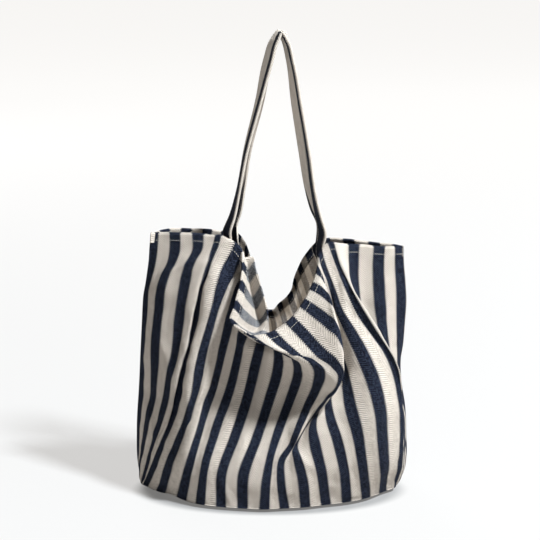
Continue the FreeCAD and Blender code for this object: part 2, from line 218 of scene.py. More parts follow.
STRAP_WIDTH = 22.0 * MM
STRAP_THICKNESS = 3.4 * MM
STRAP_GAP = 0.4 * MM        # air between the hem and a sewn strap end
HINGE_Z = 373.0 * MM
STRAP_FOOT_Y = 22.0 * MM    # centre of a strap just above the rim
# Sewn end of a strap: depth below the rim in millimetres and share of the first turn.
FOOT_TURN = [(34, 0.0), (28, 0.0), (22, 0.0), (16, 0.08), (10, 0.4), (4, 0.78)]
PEAK = (15.0 * MM, 12.5 * MM, 650.0 * MM)
STRAP_RINGS = 421           # sampling of a strap along its length
STRAP_STITCH_INSET = 2.5 * MM
BARE_RINGS = 30             # rings at each end of a strap with no edge stitches
END_STITCH_INSET = 4.0 * MM  # stitched box of a sewn end, in from the edges and the end
END_STITCH_FAR = 19.0 * MM

# Legs of the two straps from the rim up: Z, X and the turn of the strap's width in
# degrees, 0 flat along the rim and 90 edge-on to the front.  The strap folds over
# itself at the peak, so the far leg is counted on past 90.
STRAP_LEGS = {
    "front": {
        "left": [(383, -58, 62), (403, -51, 70), (431, -44, 78), (487, -33, 80),
                 (556, -14, 80), (610, 1, 80), (638, 9, 80)],
        "right": [(383, 71, 116), (403, 66, 110), (431, 60, 104), (487, 52, 100),
                  (556, 40, 99), (610, 30, 99), (638, 22, 100)],
    },
    "back": {
        "left": [(383, -51, 60), (403, -45, 61), (431, -40, 63), (487, -31, 65),
                 (556, -14, 62), (610, -3, 60), (638, 6, 66)],
        "right": [(383, 69, 106), (403, 61, 110), (431, 54, 114), (487, 45, 118),
                  (556, 34, 116), (610, 27, 114), (638, 20, 114)],
    },
}

# ---- curves and grids -----------------------------------------------------------


def along(knots, values, where):
    """Smooth curve through values at knots, read at every place in where."""
    knots, values, where = (np.asarray(x, float) for x in (knots, values, where))
    slope = np.gradient(values, knots, axis=0)
    i = np.clip(np.searchsorted(knots, where, side="right") - 1, 0, len(knots) - 2)
    shape = (-1,) + (1,) * (values.ndim - 1)
    span = (knots[i + 1] - knots[i]).reshape(shape)
    t = (where - knots[i]).reshape(shape) / span
    return ((2 * t**3 - 3 * t**2 + 1) * values[i] + (t**3 - 2 * t**2 + t) * span * slope[i]
            + (3 * t**2 - 2 * t**3) * values[i + 1] + (t**3 - t**2) * span * slope[i + 1])


def run_length(points, axis=0):
    """Distance from the first point to each point."""
    steps = np.linalg.norm(np.diff(points, axis=axis), axis=-1)
    start = np.zeros_like(np.take(steps, [0], axis=axis))
    return np.concatenate([start, np.cumsum(steps, axis=axis)], axis=axis)


def unit(vectors):
    return vectors / np.maximum(np.linalg.norm(vectors, axis=-1, keepdims=True), 1e-9)


def smooth(t):
    t = np.clip(t, 0.0, 1.0)
    return t * t * (3 - 2 * t)


def bump(x, centre, width):
    return np.exp(-((x - centre) / width) ** 2)


def normals(grid, side):
    """Outward normals of a grid that runs left to right and down; side is -1 in front."""
    across = np.gradient(grid, axis=0)
    down = np.gradient(grid, axis=1)
    return unit(np.cross(across, down)) * side


def relax(grid, passes):
    """Even out a grid; its four edges stay."""
    for _ in range(passes):
        mean = (grid[2:, 1:-1] + grid[:-2, 1:-1] + grid[1:-1, 2:] + grid[1:-1, :-2]) / 4
        grid[1:-1, 1:-1] += (mean - grid[1:-1, 1:-1]) * 0.5
    return grid


def above_floor(grid):
    """Lift what is lower than the base seam, without a kink."""
    z = grid[..., 2] - FLOOR_GAP
    grid[..., 2] = FLOOR_GAP + 0.5 * (z + np.sqrt(z * z + (1.5 * MM) ** 2))
    return grid


def crumple(grid, cloth, side, amount, seed):
    """Small soft wrinkles along the normals, faded out at the edges."""
    way = normals(grid, side)
    height = np.zeros(grid.shape[:2])
    for scale, share in WRINKLES:
        for i in range(grid.shape[0]):
            for j in range(grid.shape[1]):
                u, v = cloth[i, j]
                spot = Vector((u * PERIOD / scale + seed, v * PERIOD / scale * 0.7, seed * 3.1 + share))
                height[i, j] += noise.noise(spot) * share
    fade = np.ones(grid.shape[:2])
    reach = 5
    ramp = smooth(np.arange(reach) / reach)
    fade[:reach] *= ramp[:, None]
    fade[-reach:] *= ramp[::-1][:, None]
    fade[:, -reach:] *= ramp[::-1]
    return grid + way * (height * fade * amount)[..., None]


def creased(grid, cloth, side, creases):
    """Straight soft creases pressed into a panel."""
    place = cloth * PERIOD / MM
    height = np.zeros(grid.shape[:2])
    for stripe, drop, stripe_end, drop_end, width, rise in creases:
        start = np.array([stripe * PERIOD / MM, drop])
        span = np.array([stripe_end * PERIOD / MM, drop_end]) - start
        length = np.linalg.norm(span)
        span = span / length
        ahead = ((place - start) @ span) / length
        aside = (place - start) @ np.array([-span[1], span[0]])
        fade = smooth(ahead / CREASE_FADE) * smooth((1 - ahead) / CREASE_FADE)
        height += rise * bump(aside, 0.0, width) * fade
    return grid + normals(grid, side) * (height * MM)[..., None]


# ---- meshes -----------------------------------------------------------------------

def new_mesh(name, points, faces, materials, face_materials=None, loop_uvs=None):
    mesh = bpy.data.meshes.new(name)
    mesh.from_pydata([tuple(p) for p in points], [], [tuple(f) for f in faces])
    for material in materials:
        mesh.materials.append(material)
    if face_materials is not None:
        mesh.polygons.foreach_set("material_index", np.asarray(face_materials, np.int32))
    if loop_uvs is not None:
        layer = mesh.uv_layers.new(name="cloth")
        layer.data.foreach_set("uv", np.asarray(loop_uvs, np.float32).ravel())
    mesh.polygons.foreach_set("use_smooth", np.ones(len(mesh.polygons), bool))
    mesh.update()
    obj = bpy.data.objects.new(name, mesh)
    bpy.context.scene.collection.objects.link(obj)
    return obj


def sheet_mesh(name, grid, cloth, side, thickness, outer, inner):
    """Closed thin sheet about a grid of points; cloth holds the (stripe, rib) coordinates."""
    nu, nv = grid.shape[:2]
    way = normals(grid, side) * thickness / 2
    points = np.concatenate([(grid + way).reshape(-1, 3), (grid - way).reshape(-1, 3)])
    coords = np.concatenate([cloth.reshape(-1, 2), cloth.reshape(-1, 2)])
    i, j = np.meshgrid(np.arange(nu - 1), np.arange(nv - 1), indexing="ij")
    a = (i * nv + j).ravel()
    quads = np.stack([a, a + 1, a + nv + 1, a + nv], axis=1)
    if side > 0:
        quads = quads[:, ::-1]
    faces = [quads, quads[:, ::-1] + nu * nv]
    kinds = [np.zeros(len(quads)), np.ones(len(quads))]
    left, top = np.arange(nv), np.arange(nu) * nv
    for edge in (left, (nu - 1) * nv + left, top, top + nv - 1):
        rim = np.stack([edge[:-1], edge[1:], edge[1:] + nu * nv, edge[:-1] + nu * nv], axis=1)
        faces.append(rim)
        kinds.append(np.zeros(len(rim)))
    faces = np.concatenate(faces)
    return new_mesh(name, points, faces, [outer, inner], np.concatenate(kinds), coords[faces.ravel()])


def swept_ring(name, rings, coords, materials, fold):
    """Closed tube through rings of points (n, k, 3) with coordinates (n, k + 1, 2) round each
    ring.  From the ring numbered fold on, the two faces change places."""
    once_round = (2 * STRAP_WIDTH + 2 * STRAP_THICKNESS) / MM
    flipped = coords + np.array([once_round / 2, 0.0])
    n, k = rings.shape[:2]
    faces, uvs = [], []
    for i in range(n - 1):
        used = coords if i < fold else flipped
        for j in range(k):
            nxt = (j + 1) % k
            faces.append((i * k + j, i * k + nxt, (i + 1) * k + nxt, (i + 1) * k + j))
            corners = [used[i, j], used[i, j + 1], used[i + 1, j + 1], used[i + 1, j]]
            past_start = min(corner[0] for corner in corners) >= once_round - 0.01
            back = once_round if past_start else 0.0
            uvs += [(corner[0] - back, corner[1]) for corner in corners]
    for i, order in ((0, range(k - 1, -1, -1)), (n - 1, range(k))):
        faces.append([i * k + j for j in order])
        uvs += [coords[i, j] for j in order]
    return new_mesh(name, rings.reshape(-1, 3), faces, materials, None, uvs)


def stitch_row(name, runs, material):
    """Short plump stitches laid on the cloth.  Each run is (points, normals) along a seam."""
    points, faces = [], []
    sides, rings = 6, 5
    for line, lift in runs:
        length = run_length(line)
        count = int(length[-1] / (STITCH + STITCH_GAP))
        for s in range(count):
            ends = (s + 0.5) * length[-1] / count + np.array([-0.5, 0.5]) * STITCH
            places = np.linspace(ends[0], ends[1], rings)
            core = np.stack([np.interp(places, length, line[:, a]) for a in range(3)], axis=1)
            up = unit(np.stack([np.interp(places, length, lift[:, a]) for a in range(3)], axis=1))
            ahead = unit(core[-1] - core[0])
            sideways = unit(np.cross(ahead, up))
            base = len(points)
            for r in range(rings):
                share = r / (rings - 1)
                radius = THREAD / 2 * math.sqrt(max(0.06, math.sin(math.pi * share)))
                height = (0.25 * math.sin(math.pi * share) - 0.12) * THREAD
                for k in range(sides):
                    turn = 2 * math.pi * k / sides
                    points.append(core[r] + up[r] * (height + radius * math.sin(turn))
                                  + sideways[r] * radius * math.cos(turn))
            for r in range(rings - 1):
                for k in range(sides):
                    nxt = (k + 1) % sides
                    faces.append((base + r * sides + k, base + r * sides + nxt,
                                  base + (r + 1) * sides + nxt, base + (r + 1) * sides + k))
            faces.append([base + k for k in range(sides - 1, -1, -1)])
            faces.append([base + (rings - 1) * sides + k for k in range(sides)])
    return new_mesh(name, points, faces, [material])


# ---- materials --------------------------------------------------------------------

NAVY = (0.003, 0.0035, 0.007)               # painted shade in the groove between two ribs; the next line is painted light on top of a rib and the lighter navy threads
NAVY_LIT = (0.027, 0.034, 0.057)
CREAM = (0.745, 0.675, 0.598)
# darker cream: painted shade in the groove between two ribs, and the colour of darker threads and slubs
CREAM_IN_SHADE_AND_DARK_THREAD = (0.30, 0.256, 0.212)
DUST = (0.30, 0.25, 0.20)
WRONG_SIDE_NAVY = (0.42, 0.42, 0.42)        # mixed in on the wrong side of the cloth
WRONG_SIDE_CREAM = (0.30, 0.27, 0.24)
# painted light: warm colour of the glow given to the back's wrong side, in place of daylight through the
# cloth
PAINTED_THROUGH_GLOW = (0.60, 0.46, 0.30)
FLECK_GRAIN, SLUB_GRAIN, DUST_GRAIN = 420.0, 120.0, 9.0
STRAP_FLECK_GRAIN, WRONG_SIDE_GRAIN = 480.0, 850.0
RIB_LEAN = 1.1              # how far a rib falls for each step away from its spine
TOOTH = 0.10                # depth of the sawn stripe edges, as a share of PERIOD
WANDER = 0.02               # how far an edge strays from its line, the same way
EDGE = (0.253, 0.263)       # navy ends and cream begins, from the middle of the navy
SELVEDGE = 1.4              # cream edge on the outside of a strap, in millimetres
WEDGE_LENGTH, WEDGE_SLOPE = 130.0, 3.6      # navy wedge inside a strap, from its sewn end
PAPER_LIGHT, PAPER_DARK = (0.215, 0.215, 0.215), (0.205, 0.205, 0.205)
PAPER_GLOW = (1.0, 0.985, 0.965, 1.0)
CONTACT_SHADOW_OVAL = (0.192, 0.090, 0.012)        # painted contact shadow under the base: half width, half depth, shift to the front


class Nodes:
    """Short hand for building a material out of nodes."""

    def __init__(self, name):
        self.material = bpy.data.materials.new(name)
        self.material.use_nodes = True
        self.tree = self.material.node_tree
        self.shader = self.tree.nodes["Principled BSDF"]

    def put(self, socket, value):
        if isinstance(value, bpy.types.NodeSocket):
            self.tree.links.new(value, socket)
        else:
            socket.default_value = value

    def maths(self, operation, a, b=0.0, c=0.0, clamp=False):
        node = self.tree.nodes.new("ShaderNodeMath")
        node.operation, node.use_clamp = operation, clamp
        for socket, value in zip(node.inputs, (a, b, c)):
            self.put(socket, value)
        return node.outputs[0]

    def ramp(self, value, low, high):
        """0 below low, 1 above high."""
        node = self.tree.nodes.new("ShaderNodeMapRange")
        node.interpolation_type = "SMOOTHSTEP"
        self.put(node.inputs[0], value)
        node.inputs[1].default_value, node.inputs[2].default_value = low, high
        return node.outputs[0]

    def mix(self, share, a, b):
        node = self.tree.nodes.new("ShaderNodeMix")
        node.data_type = "RGBA"
        self.put(node.inputs[0], share)
        for socket, value in ((node.inputs[6], a), (node.inputs[7], b)):
            self.put(socket, value if isinstance(value, bpy.types.NodeSocket) else (*value, 1.0))
        return node.outputs[2]

    def noise(self, scale, detail=2.0, stretch=(1, 1, 1)):
        coords = self.tree.nodes.new("ShaderNodeTexCoord")
        mapping = self.tree.nodes.new("ShaderNodeMapping")
        mapping.inputs["Scale"].default_value = stretch
        self.tree.links.new(coords.outputs["Object"], mapping.inputs[0])
        node = self.tree.nodes.new("ShaderNodeTexNoise")
        node.inputs["Scale"].default_value = scale
        node.inputs["Detail"].default_value = detail
        self.tree.links.new(mapping.outputs[0], node.inputs["Vector"])
        return node.outputs[0]

    def cloth_coords(self):
        uv = self.tree.nodes.new("ShaderNodeUVMap")
        uv.uv_map = "cloth"
        split = self.tree.nodes.new("ShaderNodeSeparateXYZ")
        self.tree.links.new(uv.outputs[0], split.inputs[0])
        return split.outputs[0], split.outputs[1]

    def fibre(self, colour, height, roughness=0.9, sheen=0.015, depth=0.5 * MM):
        """Finish a material as matt fibre, with relief of the given depth."""
        self.put(self.shader.inputs["Base Color"], colour)
        self.shader.inputs["Roughness"].default_value = roughness
        self.shader.inputs["Sheen Weight"].default_value = sheen
        self.shader.inputs["Sheen Roughness"].default_value = 0.45
        self.shader.inputs["Specular IOR Level"].default_value = 0.06
        relief = self.tree.nodes.new("ShaderNodeBump")
        relief.inputs["Strength"].default_value = 0.9
        relief.inputs["Distance"].default_value = depth
        self.put(relief.inputs["Height"], height)
        self.tree.links.new(relief.outputs[0], self.shader.inputs["Normal"])
        return self.material


def canvas(name, heather, through=0.0):
    """Herringbone canvas with navy stripes on cream; heather is how far the wrong side's
    mixed threads show, through is the strength of a painted glow standing in for daylight through the cloth."""
    n = Nodes(name)
    u, v = n.cloth_coords()
    # ribs fall away on both sides of a spine, which runs down the middle of every stripe
    from_spine = n.maths("PINGPONG", u, 0.25)
    fall = n.maths("ADD", v, n.maths("MULTIPLY", from_spine, RIB_LEAN))
    rib = n.maths("PINGPONG", n.maths("MULTIPLY", fall, PERIOD / RIB), 0.5)
    rib = n.maths("MULTIPLY", rib, 2.0)
    # sawn stripe edges
    from_navy = n.maths("PINGPONG", u, 0.5)
    tooth = n.maths("MULTIPLY", n.maths("SUBTRACT", rib, 0.5), TOOTH)
    edge = n.maths("ADD", from_navy, tooth)
    wander = n.maths("MULTIPLY", n.maths("SUBTRACT", n.noise(60.0), 0.5), WANDER)
    cream_share = n.ramp(n.maths("ADD", edge, wander), *EDGE)
    # thread by thread colour, with painted light on the rib tops and painted shade in the grooves between
    # ribs
    fleck = n.ramp(n.noise(FLECK_GRAIN, 1.0), 0.38, 0.62)
    slub = n.noise(SLUB_GRAIN, 3.0)
    dust = n.maths("MULTIPLY", n.ramp(n.noise(DUST_GRAIN, 4.0), 0.45, 0.75), 0.10)
    rib_light = n.ramp(rib, 0.15, 0.75)
    navy_light = n.maths("MULTIPLY_ADD", fleck, 0.6, n.maths("MULTIPLY", rib_light, 0.4), clamp=True)
    navy = n.mix(navy_light, NAVY, NAVY_LIT)
    # cream darkened by the painted shade between ribs, and by darker threads and slubs
    cream_shading_and_threads = n.maths("MULTIPLY", n.maths("SUBTRACT", 1.0, rib_light), 0.70)
    cream_shading_and_threads = n.maths("MULTIPLY_ADD", n.maths("SUBTRACT", slub, 0.4), 0.5, cream_shading_and_threads, clamp=True)
    cream_shading_and_threads = n.maths("MULTIPLY_ADD", n.maths("SUBTRACT", 0.5, fleck), 0.24, cream_shading_and_threads, clamp=True)
    cream = n.mix(cream_shading_and_threads, CREAM, CREAM_IN_SHADE_AND_DARK_THREAD)
    cream = n.mix(dust, cream, DUST)
    if heather:
        fine_fleck = n.ramp(n.noise(WRONG_SIDE_GRAIN, 1.0), 0.35, 0.65)
        mixed = n.maths("MULTIPLY_ADD", fine_fleck, 0.7, n.maths("MULTIPLY", rib, 0.55))
        speck = n.ramp(mixed, 0.25, 1.00)
        navy = n.mix(n.maths("MULTIPLY", speck, heather), navy, WRONG_SIDE_NAVY)
        cream = n.mix(n.maths("MULTIPLY", speck, heather * 0.25), cream, WRONG_SIDE_CREAM)
    colour = n.mix(cream_share, navy, cream)
    height = n.maths("MULTIPLY_ADD", fleck, 0.35, n.maths("MULTIPLY_ADD", slub, 0.5, rib))
    if through:
        # painted light: the cloth glows, in place of daylight coming through it
        n.put(n.shader.inputs["Emission Color"], n.mix(0.35, colour, PAINTED_THROUGH_GLOW))
        n.shader.inputs["Emission Strength"].default_value = through
    return n.fibre(colour, height)


def strap_canvas():
    """Folded strap: navy outside, cream inside and on its edges, with a dark dotted selvedge.
    The first coordinate runs round the section in millimetres, the second along the strap."""
    n = Nodes("strap_canvas")
    x, y = n.cloth_coords()
    width, thick = STRAP_WIDTH / MM, STRAP_THICKNESS / MM
    rib_phase = n.maths("MULTIPLY", n.maths("ADD", y, n.maths("PINGPONG", x, width / 2)), MM / RIB)
    rib = n.maths("MULTIPLY", n.maths("PINGPONG", rib_phase, 0.5), 2.0)
    fleck = n.ramp(n.noise(STRAP_FLECK_GRAIN, 1.0), 0.32, 0.68)
    slub = n.noise(SLUB_GRAIN, 3.0)
    teeth = n.maths("MULTIPLY", n.maths("SUBTRACT", rib, 0.5), 0.7)
    place = n.maths("ADD", x, teeth)
    outside = n.maths("MULTIPLY", n.maths("GREATER_THAN", place, SELVEDGE),
                      n.maths("LESS_THAN", place, width - SELVEDGE))
    from_inner_edge = n.maths("PINGPONG", n.maths("SUBTRACT", x, width + thick), width)
    on_inner = n.maths("MULTIPLY", n.maths("GREATER_THAN", x, width + thick),
                       n.maths("LESS_THAN", x, 2 * width + thick))
    near_edge = n.maths("MINIMUM", from_inner_edge, n.maths("SUBTRACT", width, from_inner_edge))
    dotted_line = n.maths("MULTIPLY", n.ramp(near_edge, 0.4, 0.7),
                          n.maths("SUBTRACT", 1.0, n.ramp(near_edge, 1.4, 1.7)))
    dot = n.maths("MULTIPLY", dotted_line, n.ramp(rib, 0.3, 0.5))
    # a navy wedge on the inside face, next to each sewn end
    wedge_edge = n.maths("SUBTRACT", WEDGE_LENGTH, n.maths("MULTIPLY", from_inner_edge, WEDGE_SLOPE))
    wedge = n.maths("LESS_THAN", n.maths("ADD", y, teeth), wedge_edge)
    inside = n.maths("MULTIPLY", on_inner, n.maths("MAXIMUM", dot, wedge))
    navy_share = n.maths("MAXIMUM", outside, inside)
    # painted light on the rib tops and painted shade in the grooves between ribs, for navy and cream; flecks
    # and slubs are the threads' own colour
    rib_light = n.ramp(rib, 0.15, 0.75)
    navy_light = n.maths("MULTIPLY_ADD", fleck, 0.5, n.maths("MULTIPLY", rib_light, 0.4), clamp=True)
    navy = n.mix(navy_light, NAVY, NAVY_LIT)
    cream_shading_and_threads = n.maths("MULTIPLY", n.maths("SUBTRACT", 1.0, rib_light), 0.4)
    cream_shading_and_threads = n.maths("MULTIPLY_ADD", n.maths("SUBTRACT", slub, 0.4), 0.5, cream_shading_and_threads, clamp=True)
    cream = n.mix(cream_shading_and_threads, CREAM, CREAM_IN_SHADE_AND_DARK_THREAD)
    colour = n.mix(navy_share, cream, navy)
    height = n.maths("MULTIPLY_ADD", fleck, 0.35, n.maths("MULTIPLY_ADD", slub, 0.5, rib))
    return n.fibre(colour, height)


def sewing_thread():
    n = Nodes("sewing_thread")
    twist = n.noise(1400.0, 1.0, (1.0, 0.4, 1.0))
    colour = n.mix(twist, (0.72, 0.66, 0.56), (0.85, 0.80, 0.71))
    return n.fibre(colour, twist, roughness=0.6, sheen=0.3, depth=0.15 * MM)


def studio_paper():
    """Pale floor paper.  A glow evens it out towards the horizon and is weaker under the base, which paints
    a contact shadow there.
    """
    n = Nodes("studio_paper")
    grain = n.noise(400.0, 2.0)
    n.put(n.shader.inputs["Base Color"], n.mix(grain, PAPER_LIGHT, PAPER_DARK))
    n.shader.inputs["Roughness"].default_value = 0.9
    n.shader.inputs["Specular IOR Level"].default_value = 0.1
    n.shader.inputs["Emission Color"].default_value = PAPER_GLOW
    coords = n.tree.nodes.new("ShaderNodeTexCoord")
    split = n.tree.nodes.new("ShaderNodeSeparateXYZ")
    n.tree.links.new(coords.outputs["Object"], split.inputs[0])
    across, ahead = split.outputs[0], split.outputs[1]
    reach = n.maths("SQRT", n.maths("MULTIPLY_ADD", across, across, n.maths("MULTIPLY", ahead, ahead)))
    glow = n.maths("MULTIPLY_ADD", n.ramp(reach, -1.6, 6.0), 0.37, 0.55)
    half_width, half_depth, shift = CONTACT_SHADOW_OVAL
    wide = n.maths("MULTIPLY", across, 1 / half_width)
    deep = n.maths("MULTIPLY", n.maths("ADD", ahead, shift), 1 / half_depth)
    oval = n.maths("SQRT", n.maths("MULTIPLY_ADD", wide, wide, n.maths("MULTIPLY", deep, deep)))
    # painted contact shadow: inside the oval under the base the glow drops to 0.28 of itself
    painted_contact_shadow = n.maths("MULTIPLY_ADD", n.ramp(oval, 0.90, 1.06), 0.72, 0.28)
    n.put(n.shader.inputs["Emission Strength"], n.maths("MULTIPLY", glow, painted_contact_shadow))
    return n.material


OUTSIDE = canvas("striped_canvas_outside", 0.0)
INSIDE = canvas("striped_canvas_inside", 0.75)
# the back's wrong side gets a painted glow of strength 0.34
BACK_INSIDE = canvas("striped_canvas_back_inside", 0.45, 0.34)
HEM = canvas("hem_canvas", 0.0)
STRAP = strap_canvas()
THREADS = sewing_thread()

# ---- panels -----------------------------------------------------------------------

ROW_SHARES = np.linspace(0.0, 1.0, ROWS)


def front_shape():
    """Smooth surface through the courses: the stripe number of each column, and the grid."""
    numbers, columns = [], []
    for number, upper, turn, lower in FRONT_COURSES:
        points = np.array(upper + turn + lower, float) * MM
        start, end = FOLD_ROWS
        below = run_length(points[-len(lower):])
        rows = np.concatenate([np.linspace(0, start, len(upper)),
                               np.linspace(start, end, len(turn) + 2)[1:-1],
                               end + (1 - end) * below / below[-1]])
        columns.append(along(rows, points, ROW_SHARES))
        numbers.append(number)
    stripes = np.linspace(numbers[0], numbers[-1], COLUMNS)
    grid = along(numbers, np.array(columns), stripes)
    grid[..., 1] = np.maximum(grid[..., 1], DEEPEST)
    return stripes, above_floor(relax(grid, 2))


def back_shape(front):
    """The back hangs between the two side seams, its own rim and the base.  It bellies out
    and its slack gathers in slanting folds under the dip of the mouth."""
    table = np.array(BACK_RIM, float)
    share = np.linspace(0.0, 1.0, COLUMNS)
    stripes = table[0, 0] + (table[-1, 0] - table[0, 0]) * share
    rim = along(table[:, 0], table[:, 1:] * MM, stripes)
    left, right = front[0], front[-1]
    rim[0], rim[-1] = left[0], right[0]
    middle, half = (left[-1, 0] + right[-1, 0]) / 2, (right[-1, 0] - left[-1, 0]) / 2
    turn = math.pi * np.linspace(1, 0, 4 * COLUMNS)
    oval = np.stack([middle + half * np.sign(np.cos(turn)) * np.abs(np.cos(turn)) ** OVAL_POWER,
                     BASE_DEPTH * np.sin(turn).clip(0) ** OVAL_POWER], axis=1)
    run = run_length(oval)
    base = np.stack([np.interp(share * run[-1], run, oval[:, a]) for a in (0, 1)], axis=1)
    seam_y = left[-1, 1] + (right[-1, 1] - left[-1, 1]) * share
    base = np.stack([base[:, 0], seam_y + base[:, 1], np.full(COLUMNS, left[-1, 2])], axis=1)
    # a patch that meets all four edges; a runs across it and w down it
    a, w = share[:, None, None], ROW_SHARES[None, :, None]
    patch = ((1 - w) * rim[:, None] + w * base[:, None] + (1 - a) * left[None] + a * right[None]
             - (1 - a) * (1 - w) * left[0] - a * (1 - w) * right[0]
             - (1 - a) * w * left[-1] - a * w * right[-1])
    a, w = a[..., 0], w[..., 0]
    inside = np.sin(math.pi * w) ** 0.9 * np.sin(math.pi * a) ** 0.7
    patch[..., 1] += inside * BELLY
    patch[..., 0] += inside * BACK_SWAY * np.sin(2 * math.pi * w + 0.6)
    way = normals(patch, 1)
    height = sum(rise * bump(a, start + lean * w + bend * np.sin(math.pi * w), width)
                 * smooth((w - top) / 0.18) * smooth((bottom - w) / 0.25)
                 for start, lean, bend, width, rise, top, bottom in BACK_FOLDS)
    patch += way * (height * smooth(w / 0.12))[..., None] * MM
    return stripes, above_floor(patch)


def cloth_coords(grid, stripes):
    """Stripe number and distance below the rim, both counted in PERIODs."""
    down = run_length(grid, axis=1) / PERIOD
    return np.stack([np.broadcast_to(stripes[:, None], down.shape), down], axis=-1)


def at_drop(values, grid, drop):
    """Values of a panel grid at a distance below the rim, for every column."""
    run = run_length(grid, axis=1)
    return np.array([[np.interp(drop, run[i], values[i, :, a]) for a in range(values.shape[2])]
                     for i in range(len(grid))])


def hem_band(name, grid, stripes, side):
    """The panel's edge turned over and down the inside."""
    way = normals(grid, side)
    top, top_way = grid[:, 0], way[:, 0]
    down = unit(grid[:, 2] - grid[:, 0])
    rows, heights = [], []
    for k in range(7):
        turn = math.pi * k / 6
        rows.append(top + top_way * (HEM_TURN * (math.cos(turn) - 1)) - down * (HEM_TURN * math.sin(turn)))
        heights.append(HEM_TURN * turn)
    for drop in np.linspace(0, HEM_DEPTH, 9)[1:]:
        rows.append(at_drop(grid, grid, drop) - at_drop(way, grid, drop) * 2 * HEM_TURN)
        heights.append(HEM_TURN * math.pi + drop)
    band = np.stack(rows, axis=1)
    coords = np.stack(np.broadcast_arrays(stripes[:, None], -np.array(heights)[None] / PERIOD), axis=-1)
    return sheet_mesh(name, band, coords, -side, CLOTH, HEM, INSIDE)


def hem_thread(name, grid, side):
    """Row of stitches that holds the hem, seen on both sides of the panel."""
    way = normals(grid, side)
    line, lift = at_drop(grid, grid, HEM_STITCH_DROP), unit(at_drop(way, grid, HEM_STITCH_DROP))
    out = line + lift * CLOTH / 2
    back = line - lift * (2 * HEM_TURN + CLOTH / 2)
    return stitch_row(name, [(out, lift), (back, -lift)], THREADS)


def seam_strip(name, line, inward, width):
    """Two seam allowances laid together, standing off a seam line."""
    share = np.linspace(0, 1, 5)
    grid = line[:, None] + inward[:, None] * (share[None, :, None] * width + SEAM_GAP)
    down = run_length(line) / PERIOD
    coords = np.stack(np.broadcast_arrays(share[None] * width / PERIOD, down[:, None]), axis=-1)
    return sheet_mesh(name, grid, coords, 1, SEAM_CLOTH, INSIDE, INSIDE)


def base_shape(front, back):
    """Oval base between the lower edges of the two panels."""
    share = np.linspace(0, 1, 40)
    edge_front, edge_back = front[:, -1], back[:, -1]
    grid = edge_front[:, None] * (1 - share[None, :, None]) + edge_back[:, None] * share[None, :, None]
    inset = np.minimum(np.linalg.norm(grid - edge_front[:, None], axis=-1),
                       np.linalg.norm(grid - edge_back[:, None], axis=-1))
    grid[..., 2] -= BASE_SAG * smooth(inset / BASE_SAG_REACH)
    return grid


# ---- straps -----------------------------------------------------------------------

def strap_frames(side, grid, legs):
    """Centre line of a whole strap with the direction of its width, sewn end to sewn end."""
    way = normals(grid, side)
    across = unit(np.gradient(grid, axis=0))
    inset = 2 * HEM_TURN + CLOTH / 2 + STRAP_THICKNESS / 2 + STRAP_GAP
    halves = []
    for hand, sign in (("left", 1.0), ("right", -1.0)):
        table = np.array(legs[hand], float)
        height, x, turn = table[:, 0] * MM, table[:, 1] * MM, np.radians(table[:, 2])
        column = int(np.argmin(np.abs(grid[:, 0, 0] - x[0]) + 0.2 * np.abs(grid[:, 0, 2] - HINGE_Z)))
        run = run_length(grid[column])
        centres, widths = [], []
        for drop, part in FOOT_TURN:
            spot, lift, wide = [np.array([np.interp(drop * MM, run, values[column, :, a]) for a in range(3)])
                                for values in (grid, way, across)]
            lean = part * (turn[0] if sign > 0 else math.pi - turn[0])
            centres.append(spot - lift * (inset + STRAP_WIDTH / 2 * math.sin(lean)))
            widths.append(wide * math.cos(lean) + np.array([0.0, -math.sin(lean), 0.0]))
        share = (height - height[0]) / (PEAK[2] - height[0])
        y = side * (STRAP_FOOT_Y + (PEAK[1] - STRAP_FOOT_Y) * share)
        centres += list(np.stack([x, y, height], axis=1))
        widths += list(np.stack([sign * np.cos(turn), -np.sin(turn), 0 * turn], axis=1))
        halves.append((centres, widths))
    (left_c, left_w), (right_c, right_w) = halves
    crown = np.array([PEAK[0], side * PEAK[1], PEAK[2] - STRAP_THICKNESS / 2])
    centres = left_c + [crown] + right_c[::-1]
    widths = left_w + [(left_w[-1] + right_w[-1]) / 2] + right_w[::-1]
    return np.array(centres), np.array(widths, float)


def strap(name, side, grid, legs):
    """Whole strap with rounded edges, and the line and directions that it follows."""
    centres, widths = strap_frames(side, grid, legs)
    run = run_length(centres)
    places = np.linspace(0, run[-1], STRAP_RINGS)
    line = along(run, centres, places)
    wide = along(run, widths, places)
    ahead = unit(np.gradient(line, axis=0))
    wide = unit(wide - ahead * np.sum(wide * ahead, axis=1, keepdims=True))
    thick = unit(np.cross(ahead, wide))
    w, h, r = STRAP_WIDTH / 2, STRAP_THICKNESS / 2, STRAP_THICKNESS * 0.42
    edge_run = STRAP_THICKNESS + 2 * r
    section, around = [], []
    for face, start in ((1, 0.0), (-1, 2 * w + STRAP_THICKNESS)):
        for a in np.linspace(-w + r, w - r, 9):
            section.append((face * a, face * side * h))
            around.append(start + a + w)
        for k in range(1, 6):
            turn = math.pi * k / 6
            section.append((face * (w - r + r * math.sin(turn)), face * side * h * math.cos(turn)))
            around.append(start + 2 * w - r + edge_run * k / 6)
    around.append(around[0] + 4 * w + 2 * STRAP_THICKNESS)
    section, around = np.array(section), np.array(around) / MM
    shape = line[:, None] + wide[:, None] * section[None, :, :1] + thick[:, None] * section[None, :, 1:]
    crown = int(np.argmax(line[:, 2]))
    from_end = np.minimum(places, places[-1] - places) / MM
    coords = np.stack(np.broadcast_arrays(around[None], from_end[:, None]), axis=-1)
    return swept_ring(name, shape, coords, [STRAP], crown), line, wide, thick


def strap_thread(name, line, wide, thick, edge):
    """Row of stitches along one edge of a strap, on both faces."""
    spot = line + wide * (edge * (STRAP_WIDTH / 2 - STRAP_STITCH_INSET))
    runs = [(spot + thick * s * STRAP_THICKNESS / 2, thick * s) for s in (1, -1)]
    return stitch_row(name, runs, THREADS)


